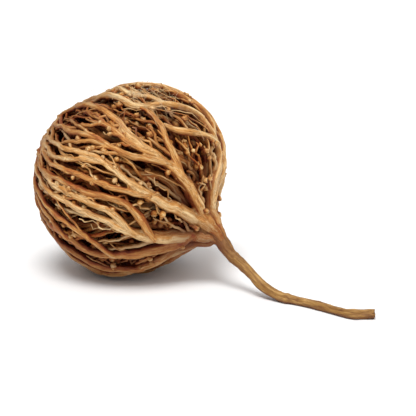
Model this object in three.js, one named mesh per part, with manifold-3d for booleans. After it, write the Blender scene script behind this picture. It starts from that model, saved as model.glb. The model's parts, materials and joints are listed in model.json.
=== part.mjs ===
// Rose of Jericho (Anastatica hierochuntica), dried and curled up into a ball.
// A woody taproot ends in a crown inside the ball. The main branches leave the crown in tiers, fork again
// and again, and curl round the ball along its meridians until their tips close over its mouth. The
// innermost twigs are crowded into a knotted heart.
// Units are millimetres and degrees. +Z is up and z = 0 is the surface that the ball lies on. The origin
// is the flat spot under the ball, and +X is the horizontal heading of the crown and the taproot.
//
// A place on the ball is given by theta, the angle from the crown's end of its axis, by phi, the turn
// round that axis (0 is up, 90 is -Y, 180 is down), and by how deep it lies under the ball's surface.
import * as THREE from "three";
import { mergeVertices } from "three/addons/utils/BufferGeometryUtils.js";
import Module from "manifold-3d";

// Driving dimensions
const BALL_RADIUS = 28.5;
const AXIS_DROP = 22.3; // the crown points this far below the horizontal
const SINK = 1.6; // how far the underside is pressed up by the surface
const FLAT_DEPTH = 0.3; // how much of each lowest branch is worn to a flat
const NECK_RISE = 4.4; // the ball is drawn out towards the crown by this much at its axis
const NECK_ANGLE = 34;
const TIER_GAP = 3.2; // one tier of branches lies this much deeper than the next
const TIER_GAP_AT_CROWN = 4.0;
const MOUTH_RIM = 148; // past this theta every tier curls into the ball
const MOUTH_END = 168;
const CURL_DEPTH = 8; // how far in it goes by MOUTH_END
const SEAT_GAP = 0.3; // between the crown and the foot of a branch
const BRANCH_STEP = 10.5; // degrees of theta between the rings of a branch
const BRANCH_FOOT = 2; // theta at which a branch leaves the crown
const REST_THETA = 90 - AXIS_DROP; // theta of the point straight under the ball's centre

// Broad swells and dents of the ball: [theta, phi, rise, width]
const SWELLS = [
  [0, 0, -2.1, 43],
  [44, 184, -1.3, 18],
  [32, 290, -1.0, 22],
  [138, 3, -2.4, 18],
  [100, -26, 1.0, 30],
  [70, -46, 1.2, 26],
  [66, 160, 0.7, 24],
  [120, 230, -1.2, 30],
  [75, 275, -0.7, 24],
];

// Radius of a branch against theta, before it is scaled by its order and tier
const BRANCH_RADIUS = [
  [0, 1.8],
  [10, 1.75],
  [25, 1.62],
  [45, 1.4],
  [60, 1.22],
  [100, 1.02],
  [165, 0.7],
];
const FORK_SCALE = 0.92; // a rib's girth against that of the rib it forks from
const TIP_SCALE = 0.62; // a rib's girth at its tip
const TIP_LENGTH = 14; // degrees of theta over which a tip curls; it tapers over twice as many

// The outer tier, branch by branch. Each rib is [the rib it forks from, the theta of that fork,
// then its course as (theta, phi) pairs]. Rib 0 starts in the crown.
const OUTER_TIER = { tier: 0, girth: 1, wander: 0.8, turn: 0, sides: 5 };
const OUTER_BRANCHES = [
  [
    [null, BRANCH_FOOT, [[8, 22], [24, 27], [40, 32], [60, 36], [78, 38], [97, 36], [118, 33], [168, 42]]],
    [0, 42, [[50, 29], [60, 25], [71, 20], [80, 19], [89, 21]]],
    [0, 52, [[70, 46], [88, 52], [112, 54], [152, 60]]],
    [0, 5, [[12, 54], [20, 58], [36, 61], [57, 63], [76, 61], [100, 64], [146, 72]]],
    [3, 50, [[69, 71], [84, 73], [106, 78], [166, 82]]],
    [3, 82, [[102, 70], [124, 75], [156, 76]]],
    [0, 62, [[72, 41], [86, 42.5], [98, 43.5], [106, 47]]],
  ],
  [
    [null, BRANCH_FOOT, [[9, 107], [21, 108], [45, 98], [56, 95], [90, 93], [120, 98], [164, 106]]],
    [0, 36, [[45, 86], [52, 79], [60, 77], [84, 81], [112, 86], [140, 92]]],
    [0, 48, [[64, 87], [90, 87], [128, 92]]],
    [0, 11, [[17, 126], [38, 121], [68, 122], [95, 118], [130, 126], [168, 136]]],
    [3, 58, [[80, 108], [108, 107], [138, 113], [156, 118]]],
    [3, 88, [[108, 113], [132, 119], [152, 126]]],
  ],
  [
    [null, BRANCH_FOOT, [[8, 168], [29, 150], [47, 147], [65, 149], [90, 145], [125, 150], [166, 162]]],
    [0, 45, [[66, 138], [90, 132], [120, 137], [150, 144]]],
    [0, 12, [[30, 176], [50, 181], [REST_THETA, 180], [90, 176], [128, 184], [158, 192]]],
    [2, 52, [[76, 163], [104, 162], [142, 172]]],
    [0, 72, [[92, 154], [118, 156], [146, 158]]],
    [2, 80, [[100, 169], [126, 173], [154, 181]]],
  ],
  [
    [null, BRANCH_FOOT, [[8, 228], [25, 209], [48, 200], [68, 198], [95, 206], [130, 202], [168, 212]]],
    [0, 64, [[82, 190], [106, 190], [136, 193]]],
    [0, 12, [[28, 240], [60, 242], [90, 236], [150, 240]]],
    [2, 42, [[66, 225], [100, 221], [136, 222], [162, 226]]],
    [2, 66, [[88, 246], [114, 245], [140, 249]]],
    [3, 76, [[96, 213], [122, 212], [152, 219]]],
  ],
  [
    [null, BRANCH_FOOT, [[8, 285], [26, 270], [60, 264], [100, 268], [164, 262]]],
    [0, 56, [[85, 254], [122, 256], [150, 254]]],
    [0, 13, [[28, 296], [55, 298], [90, 293], [135, 297], [168, 290]]],
    [2, 50, [[76, 282], [108, 281], [152, 277]]],
    [2, 66, [[88, 303], [112, 305], [138, 307]]],
    [0, 74, [[94, 274], [124, 273], [150, 270]]],
  ],
  [
    [
      null,
      BRANCH_FOOT,
      [[8, 334], [25, 336], [44, 326], [60, 338], [72, 344], [82, 360], [88, 373], [96, 380], [164, 378]],
    ],
    [0, 52, [[55, 341], [58, 354], [62, 365], [67, 372], [73, 374.5]]],
    [0, 17, [[36, 313], [62, 311], [92, 316], [130, 317], [166, 325]]],
    [0, 58, [[68, 330], [78, 336], [88, 343], [98, 347], [112, 358], [150, 356]]],
    [2, 64, [[86, 326], [112, 330], [146, 336]]],
    [0, 84, [[94, 367], [100, 371], [108, 372], [120, 368], [154, 366]]],
  ],
];

// The tiers inside it, which follow a rule. Each branch keeps to its own sector, and the whole tier is
// turned by swirl degrees, bunched by up to bunch and made to wander by up to wander degrees.
const MIDDLE_TIER = {
  name: "middle_branch",
  tier: 1,
  count: 6,
  turn: 16,
  swirl: 26,
  bunch: 7,
  wander: 2.2,
  girth: 0.92,
  reach: 160,
  pods: 3,
  seed: 11,
};
const INNER_TIER = {
  name: "inner_branch",
  tier: 2,
  count: 5,
  turn: 40,
  swirl: -30,
  bunch: 7,
  wander: 2.6,
  girth: 0.86,
  reach: 148,
  pods: 4,
  seed: 29,
};
// The heart: crowded twigs and pods that stand out of one knotted core
const HEART = {
  name: "knotted_heart",
  tier: 3,
  count: 2,
  turn: 70,
  swirl: 34,
  bunch: 6,
  wander: 3,
  girth: 0.9,
  reach: 150,
  pods: 4,
  seed: 47,
};
const CORE_DEPTH = 1.3; // the core lies this much deeper than the outside of the heart's twigs
const CORE_KNOBS = 0.5; // height of its knobs
const CORE_DETAIL = 2;
const INNER_SIDES = 4;
const TIP_SHARES = [-0.36, 0.36, -0.18, 0.18, 0]; // where a branch's tips lie in its sector
const TIP_SLACK = 0.04; // how far a tip is off its place, as a share of the sector
const TIP_SPREAD = 22; // how much earlier than its tier's reach a tip may end
// The least theta at which each arm of a branch forks off, and how much further it may be
const FORKS = [[14, 8], [38, 16], [42, 18], [62, 10]];
const POD_RADIUS = 1.25;
const POD_ASIDE = 2.6; // degrees of phi from the middle of the rib that it sits on
const POD_FROM = 50; // the pods sit between this theta and POD_FROM + POD_RANGE
const POD_RANGE = 56;

// The taproot's centreline, [x, y, z, radius], from where it leaves the crown
const TAPROOT = [
  [34.0, 0.0, 10.3, 1.6],
  [37.8, -0.2, 8.1, 1.42],
  [41.6, -0.6, 5.6, 1.38],
  [45.3, -1.1, 3.3, 1.38],
  [49.2, -1.8, 2.0, 1.36],
  [52.9, -2.2, 1.25, 1.26],
  [57.1, -1.8, 1.0, 1.12],
  [62.9, -2.1, 1.0, 1.15],
  [70.1, -3.2, 0.98, 1.1],
  [75.8, -3.9, 1.15, 1.28],
  [78.5, -2.4, 1.2, 1.15],
  [81.1, -0.8, 1.42, 1.15],
];
const TAPROOT_STEPS = 2; // rings between two of its points
const ROOT_SIDES = 12;
// The crown, [distance from the ball's centre along its axis, radius], from its inner end outwards
const CROWN = [
  [14.6, 1.2],
  [16.0, 2.1],
  [21.4, 2.9],
  [24.6, 3.4],
  [27.7, 4.0],
  [29.9, 3.5],
  [32.2, 2.5],
];

const DRIED_WOOD = new THREE.MeshStandardMaterial({ color: 0xa9743f, roughness: 0.72, metalness: 0 });
const INNER_WOOD = new THREE.MeshStandardMaterial({ color: 0x87562f, roughness: 0.8, metalness: 0 });
const ROOT_WOOD = new THREE.MeshStandardMaterial({ color: 0x9c6d3c, roughness: 0.75, metalness: 0 });

const { degToRad, radToDeg, lerp, smoothstep } = THREE.MathUtils;
const wasm = await Module();
wasm.setup();

// The ball's own directions: AXIS runs from its centre to the crown, UPWARD is phi 0, SIDEWAYS is phi 90.
const drop = degToRad(AXIS_DROP);
const AXIS = new THREE.Vector3(Math.cos(drop), 0, -Math.sin(drop));
const UPWARD = new THREE.Vector3(Math.sin(drop), 0, Math.cos(drop));
const SIDEWAYS = new THREE.Vector3().crossVectors(AXIS, UPWARD);
const CENTRE = new THREE.Vector3(0, 0, BALL_RADIUS - SINK);

// Repeatable draws from 0 to 1 (mulberry32).
function draws(seed) {
  let state = seed;
  return () => {
    state = (state + 0x6d2b79f5) | 0;
    let t = Math.imul(state ^ (state >>> 15), 1 | state);
    t = (t + Math.imul(t ^ (t >>> 7), 61 | t)) ^ t;
    return ((t ^ (t >>> 14)) >>> 0) / 4294967296;
  };
}

// y at x on a smooth curve through the knots [x, y], whose slopes come from their neighbours.
function through(knots, x) {
  const last = knots.length - 1;
  if (x <= knots[0][0]) return knots[0][1];
  if (x >= knots[last][0]) return knots[last][1];
  let i = 0;
  while (x > knots[i + 1][0]) i += 1;
  const slope = (k) => {
    const before = knots[Math.max(k - 1, 0)];
    const after = knots[Math.min(k + 1, last)];
    return (after[1] - before[1]) / (after[0] - before[0]);
  };
  const [x0, y0] = knots[i];
  const [x1, y1] = knots[i + 1];
  const width = x1 - x0;
  const t = (x - x0) / width;
  const ease = t * t * (3 - 2 * t);
  const leave = t * (1 - t) * (1 - t) * width * slope(i);
  const arrive = t * t * (t - 1) * width * slope(i + 1);
  return y0 + (y1 - y0) * ease + leave + arrive;
}

// The unit vector from the ball's centre towards theta, phi.
function direction(theta, phi) {
  const t = degToRad(theta);
  const p = degToRad(phi);
  return new THREE.Vector3()
    .addScaledVector(AXIS, Math.cos(t))
    .addScaledVector(UPWARD, Math.sin(t) * Math.cos(p))
    .addScaledVector(SIDEWAYS, Math.sin(t) * Math.sin(p));
}

// Distance from the ball's centre to its surface in a direction.
function surface(towards) {
  const theta = radToDeg(towards.angleTo(AXIS));
  let distance = BALL_RADIUS;
  if (theta < NECK_ANGLE) distance += NECK_RISE * (1 - theta / NECK_ANGLE) ** 2;
  SWELLS.forEach(([swellTheta, swellPhi, rise, width]) => {
    const apart = radToDeg(towards.angleTo(direction(swellTheta, swellPhi)));
    distance += rise * Math.exp(-((apart / width) ** 2));
  });
  return distance;
}

// The larger of two numbers, rounded where they meet.
function softMax(a, b) {
  const ROUNDING = 0.3;
  return (a + b + Math.hypot(a - b, ROUNDING)) / 2;
}

// The centre of a round stem of this radius, lying depth under the ball's surface and kept off the ground.
function place(theta, phi, depth, radius) {
  const towards = direction(theta, phi);
  const point = towards.clone().multiplyScalar(surface(towards) - depth - radius).add(CENTRE);
  point.z = softMax(point.z, depth + radius - FLAT_DEPTH);
  return point;
}

// A closed geometry as a solid.
function solidOf(geometry) {
  return new wasm.Manifold(
    new wasm.Mesh({
      numProp: 3,
      vertProperties: geometry.getAttribute("position").array,
      triVerts: new Uint32Array(geometry.index.array),
    }),
  );
}

// A three.js geometry whose faces share their corners.
function shared(geometry) {
  geometry.deleteAttribute("normal");
  geometry.deleteAttribute("uv");
  return mergeVertices(geometry);
}

// A round stem with closed, rounded ends. Its rings face along it, and facing(point) starts each ring.
function stem(points, radii, sides, facing) {
  const last = points.length - 1;
  const along = points.map((_, k) =>
    new THREE.Vector3().subVectors(points[Math.min(k + 1, last)], points[Math.max(k - 1, 0)]).normalize(),
  );
  const corners = [];
  const faces = [];
  points.forEach((point, k) => {
    const start = facing(point).projectOnPlane(along[k]).normalize();
    const across = new THREE.Vector3().crossVectors(along[k], start);
    for (let i = 0; i < sides; i += 1) {
      const turn = (2 * Math.PI * i) / sides;
      const corner = point.clone().addScaledVector(start, radii[k] * Math.cos(turn));
      corners.push(corner.addScaledVector(across, radii[k] * Math.sin(turn)));
    }
  });
  for (let k = 0; k < last; k += 1) {
    for (let i = 0; i < sides; i += 1) {
      const a = k * sides + i;
      const b = k * sides + ((i + 1) % sides);
      faces.push(a, b, b + sides, a, b + sides, a + sides);
    }
  }
  const TIP = 0.6; // how far an end stands out, in radii
  const first = corners.push(points[0].clone().addScaledVector(along[0], -TIP * radii[0])) - 1;
  const end = corners.push(points[last].clone().addScaledVector(along[last], TIP * radii[last])) - 1;
  for (let i = 0; i < sides; i += 1) {
    const next = (i + 1) % sides;
    faces.push(first, next, i, end, last * sides + i, last * sides + next);
  }
  return solidOf(new THREE.BufferGeometry().setFromPoints(corners).setIndex(faces));
}

const awayFromCentre = (point) => new THREE.Vector3().subVectors(point, CENTRE);
const towardsSide = () => new THREE.Vector3(0, 1, 0);

// The taproot and the crown as one stem. More than 0, swollen grows it for cutting seats round it.
function rootStem(swollen) {
  const onAxis = (distance) => AXIS.clone().multiplyScalar(distance).add(CENTRE);
  const crown = CROWN.map(([distance, radius]) => [onAxis(distance), radius]);
  const root = TAPROOT.map(([x, y, z, radius]) => [new THREE.Vector3(x, y, z), radius]);
  const curve = new THREE.CatmullRomCurve3(root.map(([point]) => point));
  const fine = [];
  root.slice(1).forEach(([, radius], i) => {
    for (let step = 1; step <= TAPROOT_STEPS; step += 1) {
      const share = step / TAPROOT_STEPS;
      fine.push([curve.getPoint((i + share) / (root.length - 1)), lerp(root[i][1], radius, share)]);
    }
  });
  const rings = [...crown, root[0], ...fine];
  const radii = rings.map(([, radius]) => radius + swollen);
  return stem(rings.map(([point]) => point), radii, ROOT_SIDES, towardsSide);
}

// phi after the tier's swirl, bunching and wander, which never let neighbours cross.
function turned(theta, phi, { turn, swirl = 0, bunch = 0, wander }) {
  const share = smoothstep(theta, 8, 70);
  const bunching = Math.sin(degToRad(2 * phi + 3 * turn)) + 0.6 * Math.sin(degToRad(3 * phi - turn));
  const wandering = Math.sin(degToRad(5 * theta + 3 * phi)) + 0.5 * Math.sin(degToRad(9 * theta - 4 * phi));
  return phi + share * (swirl * (theta / 90) + bunch * bunching + wander * wandering);
}

// How deep a tier lies under the ball's surface.
function tierDepth(theta, tier) {
  const atCrown = 1 - smoothstep(theta, 8, 35);
  const curled = smoothstep(theta, MOUTH_RIM, MOUTH_END) ** 2;
  return tier * lerp(TIER_GAP, TIER_GAP_AT_CROWN, atCrown) + CURL_DEPTH * curled;
}

// One rib as a stem: from the fork where it leaves its parent, along its course, to its curled tip.
function ribStem(rib, style) {
  const SUNK = 0.8; // a rib's girth where it starts, inside the rib it forks from
  const TIP_CURL = 0.4;
  const start = rib.course[0][0];
  const end = rib.course[rib.course.length - 1][0];
  const steps = Math.ceil((end - start) / BRANCH_STEP);
  const points = [];
  const radii = [];
  for (let step = 0; step <= steps; step += 1) {
    const theta = lerp(start, end, step / steps);
    const phi = turned(theta, through(rib.course, theta), style);
    const taper = lerp(1, TIP_SCALE, smoothstep(theta, end - 2 * TIP_LENGTH, end));
    const sunk = rib.parent !== null && step === 0 ? SUNK : 1;
    const radius = through(BRANCH_RADIUS, theta) * style.girth * rib.scale * taper * sunk;
    const depth = tierDepth(theta, style.tier) + TIP_CURL * smoothstep(theta, end - TIP_LENGTH, end) ** 2;
    points.push(place(theta, phi, depth, radius));
    radii.push(radius);
  }
  return stem(points, radii, style.sides, awayFromCentre);
}

// A seed pod that sits on a rib at theta, off to one side of it.
function podOn(rib, theta, aside, style) {
  const phi = turned(theta, through(rib.course, theta) + aside, style);
  const at = place(theta, phi, tierDepth(theta, style.tier), POD_RADIUS);
  return solidOf(shared(new THREE.IcosahedronGeometry(POD_RADIUS, 0)).translate(at.x, at.y, at.z));
}

// Gives each rib of a branch its parent's phi at the fork, and a scale that falls with each fork.
function forked(ribs) {
  const made = [];
  ribs.forEach(([parent, fork, course]) => {
    const from = made[parent];
    const phi = from ? through(from.course, fork) : course[0][1];
    made.push({ parent, scale: from ? from.scale * FORK_SCALE : 1, course: [[fork, phi], ...course] });
  });
  return made;
}

// The ribs of one branch of an inner tier: two arms that fork into tips spread over the branch's sector.
function ruledRibs(index, { count, turn, reach }, draw) {
  const width = 360 / count;
  const middle = turn + (index + 0.5) * width;
  const lanes = TIP_SHARES.map((share) => middle + width * (share + TIP_SLACK * (draw() - 0.5)));
  const ends = TIP_SHARES.map(() => reach - TIP_SPREAD * draw());
  const [armFork, leftFork, rightFork, lastFork] = FORKS.map(([least, more]) => least + more * draw());
  const lastParent = draw() < 0.5 ? 2 : 3;
  const [farLeft, farRight, left, right, between] = lanes;
  return forked([
    [null, BRANCH_FOOT, [[8, middle], [28, left], [60, farLeft], [ends[0], farLeft]]],
    [0, armFork, [[armFork + 16, right], [66, farRight], [ends[1], farRight]]],
    [0, leftFork, [[leftFork + 20, left], [ends[2], left]]],
    [1, rightFork, [[rightFork + 20, right], [ends[3], right]]],
    [lastParent, lastFork, [[lastFork + 16, between], [ends[4], between]]],
  ]);
}

// Several solids as one.
function fused(solids) {
  return solids.reduce((whole, solid) => whole.add(solid));
}

// One branch of an inner tier, with its pods.
function ruledBranch(index, rule, draw) {
  const style = { ...rule, sides: INNER_SIDES };
  const ribs = ruledRibs(index, rule, draw);
  const pods = Array.from({ length: rule.pods }, (_, pod) => {
    const theta = POD_FROM + POD_RANGE * draw();
    const aside = draw() < 0.5 ? -POD_ASIDE : POD_ASIDE;
    return podOn(ribs[pod % ribs.length], theta, aside, style);
  });
  return fused([...ribs.map((rib) => ribStem(rib, style)), ...pods]);
}

// The heart's core: a smaller ball inside the ball, with knobs all over it.
function heartCore() {
  const geometry = shared(new THREE.IcosahedronGeometry(1, CORE_DETAIL));
  const corners = geometry.getAttribute("position");
  const draw = draws(HEART.seed);
  for (let i = 0; i < corners.count; i += 1) {
    const towards = new THREE.Vector3().fromBufferAttribute(corners, i).normalize();
    const depth = HEART.tier * TIER_GAP + CORE_DEPTH + CORE_KNOBS * draw();
    const corner = towards.clone().multiplyScalar(surface(towards) - depth).add(CENTRE);
    corners.setXYZ(i, corner.x, corner.y, corner.z);
  }
  return solidOf(geometry);
}

// A solid as a named mesh.
function meshOf(solid, name, material) {
  const made = solid.getMesh();
  const geometry = new THREE.BufferGeometry();
  geometry.setAttribute("position", new THREE.BufferAttribute(made.vertProperties, 3));
  geometry.setIndex(new THREE.BufferAttribute(made.triVerts, 1));
  geometry.computeVertexNormals();
  const mesh = new THREE.Mesh(geometry, material);
  mesh.name = name;
  return mesh;
}

// What is cut off every branch: the ground, and the crown grown by the seat's gap.
const GROUND_SIZE = 300;
const GROUND_DEPTH = 20;
const ground = solidOf(
  shared(new THREE.BoxGeometry(GROUND_SIZE, GROUND_SIZE, GROUND_DEPTH)).translate(0, 0, -GROUND_DEPTH / 2),
);
const cutter = ground.add(rootStem(SEAT_GAP));

const rose = new THREE.Group();
rose.name = "rose_of_jericho";
rose.add(meshOf(rootStem(0).subtract(ground), "taproot_and_crown", ROOT_WOOD));

OUTER_BRANCHES.forEach((ribs, index) => {
  const solid = fused(forked(ribs).map((rib) => ribStem(rib, OUTER_TIER)));
  rose.add(meshOf(solid.subtract(cutter), `outer_branch_${index + 1}`, DRIED_WOOD));
});

[MIDDLE_TIER, INNER_TIER].forEach((rule) => {
  const draw = draws(rule.seed);
  for (let index = 0; index < rule.count; index += 1) {
    const solid = ruledBranch(index, rule, draw);
    rose.add(meshOf(solid.subtract(cutter), `${rule.name}_${index + 1}`, INNER_WOOD));
  }
});

const heartDraw = draws(HEART.seed);
const heartTwigs = Array.from({ length: HEART.count }, (_, index) => ruledBranch(index, HEART, heartDraw));
rose.add(meshOf(fused([heartCore(), ...heartTwigs]).subtract(cutter), HEART.name, INNER_WOOD));

export default rose;
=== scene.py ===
import json
import math

import bpy
import numpy as np
from mathutils import Matrix, Vector, noise

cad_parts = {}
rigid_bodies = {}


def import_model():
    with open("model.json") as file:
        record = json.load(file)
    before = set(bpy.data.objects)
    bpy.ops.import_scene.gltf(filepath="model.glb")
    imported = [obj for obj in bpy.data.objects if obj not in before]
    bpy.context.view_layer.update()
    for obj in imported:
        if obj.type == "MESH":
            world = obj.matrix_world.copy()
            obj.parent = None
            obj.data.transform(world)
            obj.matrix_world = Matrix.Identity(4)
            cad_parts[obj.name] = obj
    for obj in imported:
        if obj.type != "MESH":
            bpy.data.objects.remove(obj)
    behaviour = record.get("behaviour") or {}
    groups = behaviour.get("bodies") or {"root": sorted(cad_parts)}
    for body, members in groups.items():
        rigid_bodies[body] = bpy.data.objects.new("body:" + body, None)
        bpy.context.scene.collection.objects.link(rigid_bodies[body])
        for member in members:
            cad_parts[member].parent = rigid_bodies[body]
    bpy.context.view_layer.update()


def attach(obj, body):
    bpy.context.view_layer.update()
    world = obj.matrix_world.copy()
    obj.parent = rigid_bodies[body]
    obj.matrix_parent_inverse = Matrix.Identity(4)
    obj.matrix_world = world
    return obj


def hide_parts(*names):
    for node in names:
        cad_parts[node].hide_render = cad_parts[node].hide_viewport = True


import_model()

MM = 0.001

# --- The ball and its ribs, with the CAD source's values ---

BALL_RADIUS = 28.5
AXIS_DROP = 22.3  # the crown points this far below the horizontal
SINK = 1.6  # how far the underside is pressed up by the surface
FLAT_DEPTH = 0.3  # how much of each lowest branch is worn to a flat
NECK_RISE = 4.4  # the ball is drawn out towards the crown by this much at its axis
NECK_ANGLE = 34
TIER_GAP = 3.2  # one tier of branches lies this much deeper than the next
TIER_GAP_AT_CROWN = 4.0
MOUTH_RIM = 148  # past this theta every tier curls into the ball
MOUTH_END = 168
CURL_DEPTH = 8  # how far in it goes by MOUTH_END
BRANCH_FOOT = 2  # theta at which a branch leaves the crown
REST_THETA = 90 - AXIS_DROP  # theta of the point straight under the ball's centre
SWELLS = [  # broad swells and dents: theta, phi, rise, width
    (0, 0, -2.1, 43),
    (44, 184, -1.3, 18),
    (32, 290, -1.0, 22),
    (138, 3, -2.4, 18),
    (100, -26, 1.0, 30),
    (70, -46, 1.2, 26),
    (66, 160, 0.7, 24),
    (120, 230, -1.2, 30),
    (75, 275, -0.7, 24),
]
BRANCH_RADIUS = [(0, 1.8), (10, 1.75), (25, 1.62), (45, 1.4), (60, 1.22), (100, 1.02), (165, 0.7)]
FORK_SCALE = 0.92  # a rib's girth against that of the rib it forks from
TIP_SCALE = 0.62  # a rib's girth at its tip
TIP_LENGTH = 14  # degrees of theta over which a tip curls; it tapers over twice as many
TIP_CURL = 0.4  # how deep it curls

# What each tier is like. After the CAD source's values come how much thinner than its solid a rib is,
# the twigs on a rib, how much deeper than the rib they end, the least depth at which they lie, the mean
# number of pods on a twig, the twigs of a rib that curl over the mouth, the sides of a twig and of a rib,
# and how flat a rib is.
OUTER_TIER = dict(
    tier=0, turn=0, swirl=0, bunch=0, wander=0.8, girth=1,
    slimmer=0.12, twigs=8, dive=(0.2, 2.6), least=0.4, fruit=0.7, curls=1, twig_sides=6, sides=16,
)
MIDDLE_TIER = dict(
    name="middle_branch", tier=1, count=6, turn=16, swirl=26, bunch=7, wander=2.2, girth=0.92,
    reach=160, pods=3, seed=11, slimmer=0.12, twigs=8, dive=(-2.6, 0.8), least=1.0, fruit=1.6,
    curls=2, twig_sides=6, sides=10, flat=1.05,
)
INNER_TIER = dict(
    name="inner_branch", tier=2, count=5, turn=40, swirl=-30, bunch=7, wander=2.6, girth=0.86,
    reach=148, pods=4, seed=29, slimmer=0.12, twigs=6, dive=(-2.8, 0.8), least=1.6, fruit=1.0,
    curls=2, twig_sides=5, sides=10, flat=1.05,
)
HEART = dict(
    name="knotted_heart", tier=3, count=2, turn=70, swirl=34, bunch=6, wander=3, girth=0.9,
    reach=150, pods=4, seed=47, slimmer=0.12, twigs=5, dive=(-3.2, 0.0), least=3.0, fruit=1.2,
    curls=2, twig_sides=6, sides=6, flat=1,
)
STOUT_BRANCH = 6  # the outer branch whose ribs are thicker than their solids
STOUT_SLIMMER = -0.06

# The outer tier, branch by branch. Each rib is the rib it forks from, the theta of that fork, and its
# course as (theta, phi) pairs. Two ribs reach further here than in the CAD source, to grow into their
# neighbours: the second of the first branch and the second of the last.
OUTER_BRANCHES = [
    [
        (
            None,
            BRANCH_FOOT,
            [(8, 22), (24, 27), (40, 32), (60, 36), (78, 38), (97, 36), (118, 33), (168, 42)],
        ),
        (0, 42, [(50, 29), (60, 25), (71, 20), (80, 19), (93, 18.5)]),
        (0, 52, [(70, 46), (88, 52), (112, 54), (152, 60)]),
        (0, 5, [(12, 54), (20, 58), (36, 61), (57, 63), (76, 61), (100, 64), (146, 72)]),
        (3, 50, [(69, 71), (84, 73), (106, 78), (166, 82)]),
        (3, 82, [(102, 70), (124, 75), (156, 76)]),
        (0, 62, [(72, 41), (86, 42.5), (98, 43.5), (106, 47)]),
    ],
    [
        (None, BRANCH_FOOT, [(9, 107), (21, 108), (45, 98), (56, 95), (90, 93), (120, 98), (164, 106)]),
        (0, 36, [(45, 86), (52, 79), (60, 77), (84, 81), (112, 86), (140, 92)]),
        (0, 48, [(64, 87), (90, 87), (128, 92)]),
        (0, 11, [(17, 126), (38, 121), (68, 122), (95, 118), (130, 126), (168, 136)]),
        (3, 58, [(80, 108), (108, 107), (138, 113), (156, 118)]),
        (3, 88, [(108, 113), (132, 119), (152, 126)]),
    ],
    [
        (None, BRANCH_FOOT, [(8, 168), (29, 150), (47, 147), (65, 149), (90, 145), (125, 150), (166, 162)]),
        (0, 45, [(66, 138), (90, 132), (120, 137), (150, 144)]),
        (0, 12, [(30, 176), (50, 181), (REST_THETA, 180), (90, 176), (128, 184), (158, 192)]),
        (2, 52, [(76, 163), (104, 162), (142, 172)]),
        (0, 72, [(92, 154), (118, 156), (146, 158)]),
        (2, 80, [(100, 169), (126, 173), (154, 181)]),
    ],
    [
        (None, BRANCH_FOOT, [(8, 228), (25, 209), (48, 200), (68, 198), (95, 206), (130, 202), (168, 212)]),
        (0, 64, [(82, 190), (106, 190), (136, 193)]),
        (0, 12, [(28, 240), (60, 242), (90, 236), (150, 240)]),
        (2, 42, [(66, 225), (100, 221), (136, 222), (162, 226)]),
        (2, 66, [(88, 246), (114, 245), (140, 249)]),
        (3, 76, [(96, 213), (122, 212), (152, 219)]),
    ],
    [
        (None, BRANCH_FOOT, [(8, 285), (26, 270), (60, 264), (100, 268), (164, 262)]),
        (0, 56, [(85, 254), (122, 256), (150, 254)]),
        (0, 13, [(28, 296), (55, 298), (90, 293), (135, 297), (168, 290)]),
        (2, 50, [(76, 282), (108, 281), (152, 277)]),
        (2, 66, [(88, 303), (112, 305), (138, 307)]),
        (0, 74, [(94, 274), (124, 273), (150, 270)]),
    ],
    [
        (
            None,
            BRANCH_FOOT,
            [
                (8, 334), (25, 336), (44, 326), (60, 338), (72, 344),
                (82, 360), (88, 373), (96, 380), (164, 378),
            ],
        ),
        (0, 52, [(55, 341), (58, 354), (62, 365), (67, 373), (73, 377)]),
        (0, 17, [(36, 313), (62, 311), (92, 316), (130, 317), (166, 325)]),
        (0, 58, [(68, 330), (78, 336), (88, 343), (98, 347), (112, 358), (150, 356)]),
        (2, 64, [(86, 326), (112, 330), (146, 336)]),
        (0, 84, [(94, 367), (100, 371), (108, 372), (120, 368), (154, 366)]),
    ],
]
CORE_DEPTH = 1.3  # the core lies this much deeper than the outside of the heart's twigs
TIP_SHARES = [-0.36, 0.36, -0.18, 0.18, 0]  # where a branch's tips lie in its sector
TIP_SLACK = 0.04  # how far a tip is off its place, as a share of the sector
TIP_SPREAD = 22  # how much earlier than its tier's reach a tip may end
FORKS = [(14, 8), (38, 16), (42, 18), (62, 10)]  # the least theta of each fork, and how much more it may be
POD_RADIUS = 1.25
POD_ASIDE = 2.6  # degrees of phi from the middle of the rib that it sits on
POD_FROM = 50  # these pods sit between this theta and POD_FROM + POD_RANGE
POD_RANGE = 56
TAPROOT = [  # x, y, z, radius
    (34.0, 0.0, 10.3, 1.6),
    (37.8, -0.2, 8.1, 1.42),
    (41.6, -0.6, 5.6, 1.38),
    (45.3, -1.1, 3.3, 1.38),
    (49.2, -1.8, 2.0, 1.36),
    (52.9, -2.2, 1.25, 1.26),
    (57.1, -1.8, 1.0, 1.12),
    (62.9, -2.1, 1.0, 1.15),
    (70.1, -3.2, 0.98, 1.1),
    (75.8, -3.9, 1.15, 1.28),
    (78.5, -2.4, 1.2, 1.15),
    (81.1, -0.8, 1.42, 1.15),
]
# Distance from the ball's centre along its axis, and radius
CROWN = [(14.6, 1.2), (16.0, 2.1), (21.4, 2.9), (24.6, 3.4), (27.7, 4.0), (29.9, 3.5), (32.2, 2.5)]

# --- How finely the pieces are made ---

RIB_STEP = 1.4  # degrees of theta between the rings of a rib
TWIG_STEP = 1.8  # degrees of theta between the rings of a twig
BENT_STEP = 0.9  # millimetres between the rings of a tip that bends over the mouth
LEAST_RINGS = 8
POD_RINGS, POD_SIDES = 7, 10
VOXEL = 0.3  # grid on which the forks of the outer ribs grow together
KEPT_FACES = 0.55  # share of that grid's faces that is kept
CORE_RINGS, CORE_SIDES = 60, 120
ROOT_SIDES = 44
ROOT_STEPS = 20  # rings between two points of the taproot or the crown
FOOT_RINGS = 22

# --- What a grown stem is like ---

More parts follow.
